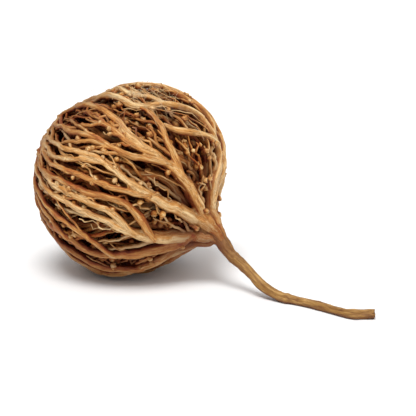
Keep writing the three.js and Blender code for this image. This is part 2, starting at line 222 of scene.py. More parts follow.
BEND, TIP_BEND = 0.34, 1.0  # how far a rib strays from its course, and how far near its tip
STOUTER = 0.16  # by how much an outer rib is thicker than its solid near the crown
FORK_WAIST = 0.7  # how thick a rib is where it leaves its parent
KNOT_SPACING = 14  # of the swellings where leaves once stood
GRAIN_SHIFT = 60  # each stem's place in the grain is shifted by up to this much

# --- Twigs and pods ---

AHEAD = 3  # degrees of theta over which a parent's heading is measured
LAST_THETA = 176  # twigs end here, near the middle of the mouth
FINE, COARSE = (0.2, 0.36), (0.4, 0.85)  # radii of twigs
FINE_SHARE = 0.4
CURLY, STRAIGHT = 0.9, 0.26  # how far a twig strays from its course
CURLY_SHARE = 0.36
TWIG_TAPER = 0.5  # how much of its girth is gone at its tip
MOST_GIRTH = 0.85  # a twig's girth is at most this share of its parent's
FORKED_SHARE, FORKED_REACH = 0.5, 18  # how many of the twigs that reach further than this are forked
SPROUT_REACH, SPROUT_ASIDE = (14, 56), (1.2, 6)
CROSSINGS = [3, 2]  # by tier: how many tips of each rib bend over the mouth
GAP_THETAS = (13, 152)  # where gaps are filled
LAYERS = [(1.4, 1.75), (3.1, 1.7), (5.0, 1.75), (7.2, 1.9)]  # depth, and how far off the next stem may be
TRIES = 900  # places looked at in each layer

# --- The crown, the taproot, the stubs and the hairs ---

# The strand by which a main rib flows on to the taproot, by the share of the way along it: how far past
# the crown's end it lies, how far from the middle, and its radius
FOOT_RUN = [(0, 6.0), (0.4, 2.2), (0.75, -0.6), (1, -3.2)]
FOOT_ASIDE = [(0, 1.2), (0.4, 1.35), (0.75, 2.0), (1, 3.65)]
FOOT_RADIUS = [(0, 0.3), (0.4, 0.56), (0.75, 1.0), (1, 1.58)]
FOOT_THETA = 9.5  # from here on a rib follows the CAD rib's own course
NECK_WAIST = 0.24  # how much slimmer than its solid the crown's end is, to make room for the strands
# The taproot's cut end: millimetres along it, and share of the radius
CUT = [(0.0, 1.03), (0.1, 1.0), (0.18, 0.9), (0.24, 0.6), (0.28, 0.25)]
FURROWS, WRINKLES = 0.16, 0.03  # depths, as shares of the radius
STUBS = [  # theta, phi, length, radius
    (14, 292, 2.4, 1.0),
    (6, 275, 2.2, 1.0),
    (11, 205, 2.2, 0.8),
    (15, 24, 2.4, 0.85),
    (19, 128, 2.0, 0.7),
    (12, 72, 2.0, 0.7),
    (21, 232, 2.4, 0.75),
    (24, 310, 2.2, 0.7),
    (9, 330, 2.0, 0.8),
]
HAIRS = 56
HAIR_SPREAD = 16

# --- Looks ---

# Each wood: its colours, as place in the ramp and sRGB, then its share of dust, roughness and shine
WOODS = {
    "outer_wood": (
        [(0, 90, 27, 4), (0.3, 158, 79, 25), (0.62, 200, 141, 70), (1, 238, 205, 151)], 0.6, 0.46, 0.3
    ),
    "inner_wood": (
        [(0, 90, 26, 4), (0.35, 158, 75, 21), (0.7, 205, 142, 67), (1, 240, 206, 147)], 0.3, 0.55, 0.18
    ),
    "root_wood": (
        [(0, 80, 44, 16), (0.35, 124, 80, 33), (0.7, 154, 112, 55), (1, 192, 150, 90)], 0.25, 0.5, 0.35
    ),
    # painted shade: the core's near-black colours stand for the shade deep inside the ball
    "core_shade_wood": ([(0, 24, 8, 3), (0.5, 68, 28, 11), (1, 118, 60, 27)], 0.0, 0.8, 0.1),
}
HAIR_COLOURS = [(0, 160, 120, 72), (0.45, 212, 178, 126), (1, 242, 222, 182)]
SHADE_COLOUR = (86, 17, 4)  # painted shade: of what lies deep, faces away from the outside or is cracked, and of the mouth, underside and crown
DUST_COLOUR = (196, 184, 156)
FLOOR_COLOUR = (248, 248, 248)
GRAIN_STRETCH = 0.1  # the grain's marks are this much finer across a stem than along it
RAMP = (0.68, 1.38)  # the sums of the marks that are at the ends of a wood's ramp
SUNK_SHADE_SHARE, EDGE_SHADE_SHARE, CRACK_SHADE_SHARE = 0.93, 0.6, 0.5  # how much of the painted shade in SHADE_COLOUR each takes on at most
DUST = (96, 6, 27)  # theta, phi and width of the place where the dust and the hairs lie
DEEP, DEEP_AT_CROWN = 9, 5.4  # how far under the surface the painted shade of the wood is at its darkest
MOUTH_SHADE, UNDER_SHADE, CROWN_SHADE = 0.25, 0.25, 0.42  # how much painted shade darkens the wood in these places
CROWN_SHADE_PLACE = (7, 140, 14)
PLACED_SHADE_END = (34, 43)  # how far from the ball's centre this painted shade fades out
UPRIGHT_FACING = 0.54  # how much an upright side of a lying stem catches the light, against its top

# --- Floor, camera and light ---

FLOOR_SIZE = 3.0  # metres
CAMERA_AZIMUTH = 34
CAMERA_ELEVATION = 15
CAMERA_DISTANCE = 560
CAMERA_TARGET = np.array([26.5, 0, 22.5])
VIEW_WIDTH = 117  # what the picture is wide at the target
SUNS = {  # to the right, back towards the camera, up, how wide the light is, power
    "key": (-0.1, 0.42, 1.0, 28, 2.15),
    "top": (0.1, 0.1, 1, 100, 1.0),
    "fill": (0.8, 0.7, 0.5, 60, 0.3),
}
SKY = 0.35

# The ball's own directions: AXIS runs from its centre to the crown, UPWARD is phi 0, SIDEWAYS is phi 90.
DROP = math.radians(AXIS_DROP)
AXIS = np.array([math.cos(DROP), 0, -math.sin(DROP)])
UPWARD = np.array([math.sin(DROP), 0, math.cos(DROP)])
SIDEWAYS = np.cross(AXIS, UPWARD)
CENTRE = np.array([0, 0, BALL_RADIUS - SINK])

# --- Curves and places on the ball ---


def unit(v):
    return v / np.linalg.norm(v, axis=-1, keepdims=True)


def draws(seed):
    """Repeatable draws from 0 to 1, the same that the CAD source makes."""
    mask = 0xFFFFFFFF
    state = seed

    def draw():
        nonlocal state
        state = (state + 0x6D2B79F5) & mask
        t = ((state ^ (state >> 15)) * (1 | state)) & mask
        t = ((t + (t ^ (t >> 7)) * (61 | t)) & mask) ^ t
        return (t ^ (t >> 14)) / 2**32

    return draw


def smoothstep(x, low, high):
    t = np.clip((x - low) / (high - low), 0, 1)
    return t * t * (3 - 2 * t)


def blend(first, last, share):
    return first + (last - first) * share


def hermite(t, first, last, leaving, arriving):
    """The smooth way from first to last as t goes from 0 to 1, with these slopes at its ends."""
    ease = t * t * (3 - 2 * t)
    return blend(first, last, ease) + leaving * t * (1 - t) ** 2 + arriving * t * t * (t - 1)


def through(knots, x):
    """y at x on a smooth curve through the knots (x, y), whose slopes come from their neighbours."""
    at, value = np.array(knots, float).T
    before = np.maximum(np.arange(len(at)) - 1, 0)
    after = np.minimum(np.arange(len(at)) + 1, len(at) - 1)
    slope = (value[after] - value[before]) / (at[after] - at[before])
    x = np.clip(x, at[0], at[-1])
    i = np.clip(np.searchsorted(at, x, side="right") - 1, 0, len(at) - 2)
    width = at[i + 1] - at[i]
    return hermite((x - at[i]) / width, value[i], value[i + 1], width * slope[i], width * slope[i + 1])


def catmull(points, steps):
    """A smooth curve through the points, whose slopes come from their neighbours."""
    points = np.array(points, float)
    padded = np.vstack([2 * points[0] - points[1], points, 2 * points[-1] - points[-2]])
    slopes = (padded[2:] - padded[:-2]) / 2
    t = np.linspace(0, 1, steps, endpoint=False)[:, None]
    spans = zip(points, points[1:], slopes, slopes[1:])
    return np.vstack([*(hermite(t, *span) for span in spans), points[-1]])


def run_along(points):
    return np.concatenate([[0], np.cumsum(np.linalg.norm(np.diff(points, axis=0), axis=1))])


def ripple(x, rng, wavelength):
    """A smooth random wave from about -1 to 1."""
    wave = 0
    for octave, size in [(1, 0.6), (2.3, 0.3), (4.7, 0.15)]:
        wave += size * np.sin(2 * np.pi * octave * x / wavelength + rng.uniform(0, 2 * np.pi))
    return wave


def direction(theta, phi):
    """The unit vector from the ball's centre towards theta, phi."""
    t = np.radians(np.asarray(theta, float))[..., None]
    p = np.radians(np.asarray(phi, float))[..., None]
    return AXIS * np.cos(t) + UPWARD * np.sin(t) * np.cos(p) + SIDEWAYS * np.sin(t) * np.sin(p)


def theta_of(towards):
    return np.degrees(np.arccos(np.clip(towards @ AXIS, -1, 1)))


def spot(towards, theta, phi, width):
    """1 at theta, phi, falling off smoothly over width degrees."""
    nearness = np.clip(towards @ direction(theta, phi), -1, 1)
    return np.exp(-((np.degrees(np.arccos(nearness)) / width) ** 2))


def away(points):
    return points - CENTRE


def surface(towards):
    """Distance from the ball's centre to its surface in a direction."""
    distance = BALL_RADIUS + NECK_RISE * np.clip(1 - theta_of(towards) / NECK_ANGLE, 0, 1) ** 2
    for theta, phi, rise, width in SWELLS:
        distance += rise * spot(towards, theta, phi, width)
    return distance


def place(theta, phi, depth, radius):
    """The centre of a round stem of this radius, lying depth under the surface and kept off the ground."""
    towards = direction(theta, phi)
    point = CENTRE + towards * (surface(towards) - depth - radius)[..., None]
    least = depth + radius - FLAT_DEPTH
    point[..., 2] = (point[..., 2] + least + np.hypot(point[..., 2] - least, 0.3)) / 2
    return point


def within(at, size):
    """Keeps a small thing under the ball's surface and off the ground."""
    outward = away(at)
    distance = np.linalg.norm(outward)
    most = surface(outward / distance) - size
    at = CENTRE + outward * min(1, most / distance)
    at[2] = max(at[2], size)
    return at


def curl_of(theta):
    """How much deeper everything lies where it curls into the mouth."""
    return CURL_DEPTH * smoothstep(theta, MOUTH_RIM, MOUTH_END) ** 2


def tier_depth(theta, tier):
    return tier * blend(TIER_GAP, TIER_GAP_AT_CROWN, 1 - smoothstep(theta, 8, 35)) + curl_of(theta)


def turned(theta, phi, style):
    """phi after the tier's swirl, bunching and wander."""
    share = smoothstep(theta, 8, 70)
    bunching = np.sin(np.radians(2 * phi + 3 * style["turn"]))
    bunching += 0.6 * np.sin(np.radians(3 * phi - style["turn"]))
    wandering = np.sin(np.radians(5 * theta + 3 * phi)) + 0.5 * np.sin(np.radians(9 * theta - 4 * phi))
    swirl = style["swirl"] * theta / 90
    return phi + share * (swirl + style["bunch"] * bunching + style["wander"] * wandering)


def turn_to(phi, target):
    """The shorter way round from phi to the target."""
    return (target - phi + 180) % 360 - 180


def across(theta, depth, least=0.2):
    """Millimetres for each degree of phi."""
    return np.radians(1) * (BALL_RADIUS - depth) * np.maximum(np.sin(np.radians(theta)), least)


# --- Centrelines ---


class Line:
    """The centreline of a stem on the ball, ring by ring."""

    def __init__(self, theta, phi, depth, radius, tone):
        self.theta, self.phi, self.depth, self.radius, self.tone = theta, phi, depth, radius, tone

    def at(self, theta):
        return [np.interp(theta, self.theta, values) for values in (self.phi, self.depth, self.radius)]

    def points(self):
        return place(self.theta, self.phi, self.depth, self.radius)


def forked(ribs):
    """Gives each rib of a branch its parent's phi at the fork, and a scale that falls with each fork."""
    made = []
    for parent, fork, course in ribs:
        scale, phi = 1, course[0][1]
        if parent is not None:
            scale = made[parent]["scale"] * FORK_SCALE
            phi = float(through(made[parent]["course"], fork))
        made.append({"parent": parent, "scale": scale, "course": [(fork, phi), *course]})
    return made


def ruled_ribs(index, rule, draw):
    """The ribs of one branch of an inner tier, drawn as the CAD source draws them."""
    width = 360 / rule["count"]
    middle = rule["turn"] + (index + 0.5) * width
    lanes = [middle + width * (share + TIP_SLACK * (draw() - 0.5)) for share in TIP_SHARES]
    ends = [rule["reach"] - TIP_SPREAD * draw() for _ in TIP_SHARES]
    arm_fork, left_fork, right_fork, last_fork = [least + more * draw() for least, more in FORKS]
    last_parent = 2 if draw() < 0.5 else 3
    far_left, far_right, left, right, between = lanes
    return forked(
        [
            (None, BRANCH_FOOT, [(8, middle), (28, left), (60, far_left), (ends[0], far_left)]),
            (0, arm_fork, [(arm_fork + 16, right), (66, far_right), (ends[1], far_right)]),
            (0, left_fork, [(left_fork + 20, left), (ends[2], left)]),
            (1, right_fork, [(right_fork + 20, right), (ends[3], right)]),
            (last_parent, last_fork, [(last_fork + 16, between), (ends[4], between)]),
        ]
    )


def knots(arc, rng):
    """Swellings along a stem, where leaves once stood."""
    swelling = np.ones_like(arc)
    at = arc[0] + rng.uniform(2, KNOT_SPACING)
    while at < arc[-1]:
        swelling += rng.uniform(0.06, 0.2) * np.exp(-(((arc - at) / 0.7) ** 2))
        at += rng.uniform(0.5, 1.5) * KNOT_SPACING
    return swelling


def rib_line(rib, style, rng):
    """The centreline of a rib, with the small bends and swellings that a grown stem has."""
    start, end = rib["course"][0][0], rib["course"][-1][0]
    theta = np.linspace(start, end, int((end - start) / RIB_STEP) + 2)
    phi = turned(theta, through(rib["course"], theta), style)
    taper_length = min(2 * TIP_LENGTH, 0.5 * (end - start))
    taper = blend(1, TIP_SCALE, smoothstep(theta, end - taper_length, end))
    radius = through(BRANCH_RADIUS, theta) * style["girth"] * rib["scale"] * taper
    radius *= 1 - style["slimmer"] * smoothstep(theta, 45, 75)
    if style["tier"] == 0:
        radius *= 1 + STOUTER * smoothstep(theta, 10, 18) * (1 - smoothstep(theta, 34, 56))
    depth = tier_depth(theta, style["tier"]) + TIP_CURL * smoothstep(theta, end - TIP_LENGTH, end) ** 2
    free = smoothstep(theta, start, start + 12)
    arc = np.radians(theta) * BALL_RADIUS
    straying = blend(BEND, TIP_BEND, smoothstep(theta, 105, 145))
    phi += free * straying * ripple(arc, rng, 17) / across(theta, 0, 0.25)
    depth += free * BEND * 0.6 * (1 + ripple(arc, rng, 13))
    radius *= 1 + 0.08 * ripple(arc, rng, 9)
    radius *= knots(arc, rng)
    if rib["parent"] is not None and start > FOOT_THETA:
        radius *= blend(FORK_WAIST, 1, smoothstep(theta, start, start + 14))
    return Line(theta, phi, depth, radius, rng.uniform(-1, 1))


def tapered(girth, share, arc, rng):
    """A twig's radii, by the share of the way along it."""
    return girth * (1 - TWIG_TAPER * share**1.5) * (1 + 0.12 * ripple(arc, rng, 4))


def either_side(rng, low, high):
    return rng.choice([-1, 1]) * rng.uniform(low, high)


def beside(line, theta, aside, deeper, rng):
    """A place for a twig to pass, so many millimetres to either side of a line and so much deeper."""
    phi, depth, _ = line.at(theta)
    phi = phi + either_side(rng, *aside) / across(theta, depth)
    return theta, phi, depth - curl_of(theta) + rng.uniform(*deeper)


def tone_near(parent, spread, rng):
    return np.clip(parent.tone + rng.normal(0, spread), -1, 1)


def offshoot(parent, start, target, beyond, girth, curly, least, rng):
    """A twig that leaves its parent at start, in the parent's heading, and passes through the target.

    The target is a theta, a phi and a depth before the tiers' curl at the mouth. The twig goes on for
    beyond degrees after it, and never lies shallower than least.
    """
    end, phi_there, depth_there = target
    phi, depth, radius = parent.at(start)
    heading = (parent.at(start + AHEAD)[0] - phi) / AHEAD
    way = end - start
    aside = turn_to(phi, phi_there)
    leaving = 0.7 * aside / way
    rings = max(LEAST_RINGS, int((way + beyond) / TWIG_STEP))
    theta = np.linspace(start, min(end + beyond, LAST_THETA + 1), rings)
    u = np.minimum((theta - start) / way, 1)
    course = hermite(u, 0, aside, way * heading, way * leaving) + leaving * np.maximum(theta - end, 0)
    arc = (theta - start) / 2
    waves = curly * np.minimum(arc / 3, 1)
    phis = phi + course + waves * ripple(arc, rng, 7) / across(theta, depth_there)
    from_depth = depth + radius - girth - curl_of(start)
    depths = blend(from_depth, depth_there, smoothstep(u, 0, 1))
    depths = np.maximum(depths + waves * ripple(arc, rng, 6), least) + curl_of(theta)
    girths = tapered(girth, (theta - start) / (theta[-1] - start), arc, rng)
    return Line(theta, phis, depths, girths, tone_near(parent, 0.5, rng))


def bent(parent, start, goal, under, girth, rng):
    """A tip that leaves its parent at start and bends over the mouth to the goal, a direction."""
    phi, depth, radius = parent.at(start)
    begin = direction(start, phi)
    reach = np.linalg.norm(goal - begin)
    heading = reach * unit(direction(start + AHEAD, parent.at(start + AHEAD)[0]) - begin)
    rings = max(LEAST_RINGS, int(reach * BALL_RADIUS / BENT_STEP))
    t = np.linspace(0, 1, rings)[:, None]
    course = hermite(t, begin, goal, heading, 0.8 * (goal - begin))
    arc = reach * BALL_RADIUS * t[:, 0]
    waves = np.minimum(arc / 4, 1)
    aside = unit(np.cross(begin, goal))
    sway = waves * 0.7 * ripple(arc, rng, 8) / BALL_RADIUS
    towards = unit(course + aside * sway[:, None])
    phis = np.degrees(np.arctan2(towards @ SIDEWAYS, towards @ UPWARD))
    from_depth = depth + radius - girth
    depths = blend(from_depth, under, smoothstep(arc / arc[-1], 0.1, 0.9))
    depths = np.maximum(depths + 0.6 * waves * ripple(arc, rng, 7), 0.3)
    girths = tapered(girth, t[:, 0], arc, rng)
    return Line(theta_of(towards), phis, depths, girths, tone_near(parent, 0.6, rng))


# --- Meshes ---


class Skin:
    """Meshes gathered for one piece, with what its material reads at each corner."""

    def __init__(self):
        self.parts = []
        self.count = 0

    def add(self, points, quads, triangles, grain, tone):
        tones = np.broadcast_to(tone, len(points))
        self.parts.append((points, quads + self.count, triangles + self.count, grain, tones))
        self.count += len(points)
        return self

    def joined(self):
        """The points, quads, triangles, grain and tones of all that was added."""
        return [np.concatenate(values) for values in zip(*self.parts)]


def mesh_of(name, points, quads, triangles):
    corners = np.concatenate([quads.ravel(), triangles.ravel()])
    sizes = np.repeat([4, 3], [len(quads), len(triangles)])
    mesh = bpy.data.meshes.new(name)
    mesh.vertices.add(len(points))
    mesh.vertices.foreach_set("co", points.astype(np.float32).ravel())
    mesh.loops.add(len(corners))
    mesh.loops.foreach_set("vertex_index", corners.astype(np.int32))
    mesh.polygons.add(len(sizes))
    mesh.polygons.foreach_set("loop_start", np.cumsum([0, *sizes[:-1]]).astype(np.int32))
    mesh.update(calc_edges=True)
    return mesh


def read(things, key, kind, width=1):
    values = np.empty(len(things) * width, kind)
    things.foreach_get(key, values)
    return values


def in_scene(name, data):
    made = bpy.data.objects.new(name, data)
    bpy.context.scene.collection.objects.link(made)
    return made


def net(rings, sides, downward=False):
    """The quads between rings of corners, and the triangles to the two end corners, numbered after them.

    The rings run along a stem or, downward, from the top of something round.
    """
    i = np.arange(sides)
    j = (i + 1) % sides
    ring = np.arange(rings - 1)[:, None] * sides
    far = (rings - 1) * sides
    quads = np.stack([ring + i, ring + j, ring + j + sides, ring + i + sides], axis=-1).reshape(-1, 4)
    first = np.stack([np.full(sides, rings * sides), j, i], axis=-1)
    last = np.stack([np.full(sides, rings * sides + 1), far + i, far + j], axis=-1)
    caps = np.vstack([first, last])
    return (quads[:, [0, 3, 2, 1]], caps[:, [0, 2, 1]]) if downward else (quads, caps)


def round_the_sides(sides):
    return 2 * np.pi * np.arange(sides) / sides


def from_top(rings):
    """For each ring of something round, the angle from its top."""
    return np.pi * np.arange(1, rings)[:, None] / rings


def frames(points, reference):
    """At each ring, the unit vectors along the stem, towards the reference, and across both."""
    along = unit(np.gradient(points, axis=0))
    reference = np.broadcast_to(reference, points.shape)
    start = unit(reference - along * np.sum(reference * along, axis=1, keepdims=True))
    return along, start, np.cross(along, start)


def tube(points, radii, sides, reference, rng, flutes=0.07, flat=1.0, length=0.0, shifted=False):
    """A stem with closed tips: its corners, quads, triangles and each corner's place in the grain."""
    rings = len(points)
    along, start, crosswise = frames(points, reference)
    turn = round_the_sides(sides)
    run = length + run_along(points)
    swell = np.ones((rings, sides))
    for lobes, size in [(2, 0.5), (3, 0.8), (5, 1.0)]:
        twist = rng.uniform(-0.09, 0.09) * run[:, None]
        swell += flutes * size * np.cos(lobes * turn + twist + rng.uniform(0, 2 * np.pi))
    out = radii[:, None] * swell * np.cos(turn) * (2 - flat)
    aside = radii[:, None] * swell * np.sin(turn) * flat
    rims = points[:, None] + out[..., None] * start[:, None] + aside[..., None] * crosswise[:, None]
    ends = [points[0] - along[0] * 0.6 * radii[0], points[-1] + along[-1] * 0.6 * radii[-1]]
    corners = np.vstack([rims.reshape(-1, 3), ends])
    grain = np.stack([out, aside, np.broadcast_to(run[:, None], out.shape)], axis=-1).reshape(-1, 3)
    grain = np.vstack([grain, [0, 0, run[0]], [0, 0, run[-1]]])
    if shifted:
        grain += rng.uniform(0, GRAIN_SHIFT, 3)
    return corners, *net(rings, sides), grain


def add_stem(skin, line, sides, rng, flat=1.0):
    points = line.points()
    skin.add(*tube(points, line.radius, sides, away(points), rng, flat=flat, shifted=True), line.tone)


def add_pod(skin, at, size, rng):
    """A round seed pod with a seam, a beak and a small wing on either side."""
    up, turn = from_top(POD_RINGS), round_the_sides(POD_SIDES)
    rim = np.sin(up) * np.ones(POD_SIDES)
    wings = 0.45 * np.maximum(np.cos(2 * turn), 0) ** 3 * np.exp(-(((up - 1.1) / 0.45) ** 2))
    seam = -0.12 * np.exp(-((np.sin(turn) / 0.25) ** 2)) * np.sin(up)
    dents = 1 + 0.08 * np.cos(3 * turn + 4 * up + rng.uniform(0, 6))
    reach = (rim * dents + wings + seam) * size
    x = reach * np.cos(turn)
    y = reach * np.sin(turn) * 0.85
    z = np.cos(up) * size * 0.9 * np.ones(POD_SIDES)
    local = np.vstack([np.stack([x, y, z], -1).reshape(-1, 3), [0, 0, size * 1.35], [0, 0, -size]])
    spin = np.array(Matrix.Rotation(rng.uniform(0, 2 * np.pi), 3, Vector(unit(rng.normal(size=3)))))
    grain = local * (1, 1, 3) + rng.uniform(0, GRAIN_SHIFT, 3)
    skin.add(local @ spin.T + at, *net(POD_RINGS - 1, POD_SIDES, True), grain, rng.uniform(-0.5, 1))


# --- Branches, and what grows on them ---


class Branch:
    """One branch: its ribs, and the twigs and pods that grow on them."""

    def __init__(self, name, style, lines, pods, rng):
        self.name, self.style, self.lines, self.pods, self.rng = name, style, lines, pods, rng
        self.twigs = []

    def grow(self, parent, start, target, beyond, girth, pods):
        """Adds a twig, some pods on it and, often, a fork of it."""
        rng = self.rng
        least = self.style["least"]
        curly = CURLY if rng.uniform() < CURLY_SHARE else STRAIGHT
        girth = min(girth, MOST_GIRTH * parent.at(start)[2])
        twig = offshoot(parent, start, target, beyond, girth, curly, least, rng)
        self.bear(twig, pods)
        made = [twig]
        reach = twig.theta[-1] - start
        if rng.uniform() < FORKED_SHARE and reach > FORKED_REACH:
            at = start + reach * rng.uniform(0.25, 0.6)
            end = min(at + reach * rng.uniform(0.3, 0.7), LAST_THETA)
            there = beside(twig, end, (1, 3.5), (-0.8, 1), rng)
            fork = offshoot(twig, at, there, 0, 0.75 * girth, 1.6 * curly, least, rng)
            self.bear(fork, pods)
            made.append(fork)
        self.twigs += made
        return made

    def bear(self, twig, pods):
        """Adds pods on a twig, this many on average."""
        points = twig.points()
        for _ in range(self.rng.poisson(pods)):
            k = self.rng.integers(len(points) // 3, len(points))
            size = self.rng.uniform(0.65, 1.15)
            lean = unit(self.rng.normal(size=3))
            self.pods.append((within(points[k] + lean * (twig.radius[k] + 0.45 * size), size), size))

    def sprout(self):
        """Twigs at random places along the ribs, and fine tips that curl over the ball's mouth."""
        rng, style = self.rng, self.style
        for line in self.lines:
            first, last = line.theta[0] + 8, line.theta[-1] - 6
            if last - first < 12:
                continue
            for start in first + (last - first) * rng.uniform(0, 1, style["twigs"]) ** 1.4:
                end = start + min(rng.uniform(*SPROUT_REACH), LAST_THETA - 4 - start)
                there = beside(line, end, SPROUT_ASIDE, style["dive"], rng)
                girth = rng.uniform(*(FINE if rng.uniform() < FINE_SHARE else COARSE))
                self.grow(line, start, there, 0, girth, style["fruit"])
            for _ in range(style["curls"]):
                start = min(line.theta[-1] - AHEAD, rng.uniform(118, 150))
                phi, depth, _ = line.at(start)
                phi = phi + either_side(rng, 4, 40)
                there = (LAST_THETA, phi, depth - curl_of(start) + rng.uniform(0, 3))
                girth = rng.uniform(0.35, 0.6)
                self.twigs.append(offshoot(line, start, there, 0, girth, 1.1, style["least"], rng))


def outer_branches():
    for number, table in enumerate(OUTER_BRANCHES, 1):
        rng = np.random.default_rng(99 + number)
        style = dict(OUTER_TIER, slimmer=STOUT_SLIMMER) if number == STOUT_BRANCH else OUTER_TIER
        lines = [rib_line(rib, style, rng) for rib in forked(table)]
        yield Branch(f"outer_branch_{number}", style, lines, [], rng)


def ruled_branches(rule):
    """The branches of an inner tier, with the CAD source's own draws for their ribs and pods."""
    draw = draws(rule["seed"])
    for index in range(rule["count"]):
        rng = np.random.default_rng(rule["seed"] * 100 + index)
        ribs = ruled_ribs(index, rule, draw)
        pods = []
        for pod in range(rule["pods"]):
            rib = ribs[pod % len(ribs)]
            theta = POD_FROM + POD_RANGE * draw()
            aside = -POD_ASIDE if draw() < 0.5 else POD_ASIDE
            phi = turned(theta, through(rib["course"], theta) + aside, rule)
            pods.append((place(theta, phi, tier_depth(theta, rule["tier"]), POD_RADIUS), POD_RADIUS))
        lines = [rib_line(rib, rule, rng) for rib in ribs]
        yield Branch(f"{rule['name']}_{index + 1}", rule, lines, pods, rng)


def close_mouth(branches, rng):
    """Tips that bend over the mouth, this way and that, and cross each other."""
    for branch in branches:
        tier = branch.style["tier"]
        for line in branch.lines:
            last = line.theta[-1] - 4
            if last < 124:
                continue
            for _ in range(CROSSINGS[tier]):
                start = rng.uniform(120, min(last, 150))
                end = rng.uniform(148, 177)
                turn = line.at(start)[0] + either_side(rng, 25, 190)
                under = rng.uniform(1.2, 3.2) + 4.5 * smoothstep(end, 150, 178) + tier
                girth = min(rng.uniform(0.3, 0.75), MOST_GIRTH * line.at(start)[2])
                twig = bent(line, start, direction(end, turn), under, girth, rng)
                branch.bear(twig, 0.25)
                branch.twigs.append(twig)


def fill_gaps(branches, rng):
    """Grows a twig into each place, layer by layer, from which the nearest stem is too far."""
    ribs = [(branch, line) for branch in branches for line in branch.lines]
    owner = np.concatenate([np.full(len(line.theta), k) for k, (_, line) in enumerate(ribs)])
    theta, phi, depth = (
        np.concatenate([getattr(line, key) for _, line in ribs]) for key in ("theta", "phi", "depth")
    )
    stems = [line for branch in branches for line in branch.lines + branch.twigs]
    crowd = np.vstack([line.points() for line in stems])
    highest, lowest = np.cos(np.radians(GAP_THETAS))
    for layer, gap in LAYERS:
        cosines = rng.uniform(lowest, highest, TRIES)
        for end, turn in zip(np.degrees(np.arccos(cosines)), rng.uniform(0, 360, TRIES)):
            under = layer + curl_of(end)
            if np.min(np.sum((crowd - place(end, turn, under, 0.5)) ** 2, axis=1)) < gap**2:
                continue
            behind = end - theta
            aside = turn_to(phi, turn) * across(end, under)
            far = np.hypot(aside, 1.5 * (depth - curl_of(theta) - layer))
            far += 0.25 * np.abs(behind - 13)
            far[(behind < 5) | (behind > 30)] = np.inf
            k = np.argmin(far)
            if far[k] > 12:
                continue
            branch, line = ribs[owner[k]]
            beyond, girth = rng.uniform(8, 30), rng.uniform(0.42, 0.8)
            made = branch.grow(line, theta[k], (end, turn, layer), beyond, girth, branch.style["fruit"])
            crowd = np.vstack([crowd, *(twig.points() for twig in made)])


# --- The outer ribs, whose forks grow together ---

# The centreline of the crown and the taproot, as x, y, z and radius
ROOT_COURSE = catmull([*((*(CENTRE + AXIS * at), radius) for at, radius in CROWN), *TAPROOT], ROOT_STEPS)
NECK_RING = (len(CROWN) - 1) * ROOT_STEPS  # where the crown ends on that course


def foot(phi):
    """The strand by which a main rib flows over the crown and on to the taproot: points and radii."""
    share = np.linspace(0, 1, FOOT_RINGS, endpoint=False)
    course = ROOT_COURSE[:, :3]
    run = run_along(course)
    at = run[NECK_RING] + through(FOOT_RUN, share)
    middle = np.stack([np.interp(at, run, course[:, k]) for k in range(3)], axis=-1)
    _, outward, _ = frames(middle, direction(90, phi))
    return middle + outward * through(FOOT_ASIDE, share)[:, None], through(FOOT_RADIUS, share)


def remeshed(raw):
    """The skin with its parts grown into each other: its corners, quads and triangles."""
    mesh = mesh_of("raw", *raw.joined()[:3])
    thing = in_scene("raw", mesh)
    joined, smooth, fewer = (thing.modifiers.new(kind, kind) for kind in ("REMESH", "SMOOTH", "DECIMATE"))
    joined.mode, joined.voxel_size = "VOXEL", VOXEL
    smooth.factor, smooth.iterations = 0.5, 3
    fewer.ratio = KEPT_FACES
    seen = thing.evaluated_get(bpy.context.evaluated_depsgraph_get()).to_mesh()
    points = read(seen.vertices, "co", np.float32, 3)
    corners = read(seen.loops, "vertex_index", np.int32)
    sizes = read(seen.polygons, "loop_total", np.int32)
    bpy.data.objects.remove(thing)
    bpy.data.meshes.remove(mesh)
    starts = np.concatenate([[0], np.cumsum(sizes)[:-1]])
    quads, triangles = (corners[starts[sizes == n][:, None] + np.arange(n)] for n in (4, 3))
    return points.reshape(-1, 3).astype(float), quads, triangles


def grown_together(branch):
    """The ribs of a branch as one skin, without seams at their forks.

    Each corner of it keeps its place in the grain, and the tone, of the rib that it lies on.
    """
    raw = Skin()
    rings = []
    for line in branch.lines:
        points, radii = line.points(), line.radius
        length = np.radians(line.theta[0]) * BALL_RADIUS  # the grain's, where the rib starts
        if line.theta[0] < FOOT_THETA:
            strand, strand_radii = foot(line.at(FOOT_THETA)[0])
            kept = line.theta >= FOOT_THETA
            points, radii = np.vstack([strand, points[kept]]), np.concatenate([strand_radii, radii[kept]])
            length = -12.0
        sides = branch.style["sides"]
        rib = tube(points, radii, sides, away(points), branch.rng, flutes=0.085, length=length)
        raw.add(*rib, line.tone)
        axes = np.stack(frames(points, away(points)), axis=1)
        lengths = rib[-1][np.arange(len(points)) * sides, 2]
        rings.append((points, radii, axes, lengths, np.full(len(points), line.tone)))
    centres, girths, axes, lengths, tones = (np.concatenate(values) for values in zip(*rings))
    points, quads, triangles = remeshed(raw)
    nearest = [
        np.argmin(np.linalg.norm(lot[:, None] - centres, axis=2) - girths, axis=1)
        for lot in np.array_split(points, 24)
    ]
    ring = np.concatenate(nearest)
    offset = points - centres[ring]
    along, start, crosswise = (np.sum(offset * axes[ring, k], axis=1) for k in range(3))
    grain = np.stack([start, crosswise, along + lengths[ring]], axis=-1)
    return points, quads, triangles, grain, tones[ring]


# --- Materials ---


def srgb(red, green, blue):
    """A colour given as 0 to 255 in sRGB, as Blender's linear RGBA."""
    parts = [c / 255 for c in (red, green, blue)]
    return (*[c / 12.92 if c <= 0.04045 else ((c + 0.055) / 1.055) ** 2.4 for c in parts], 1)


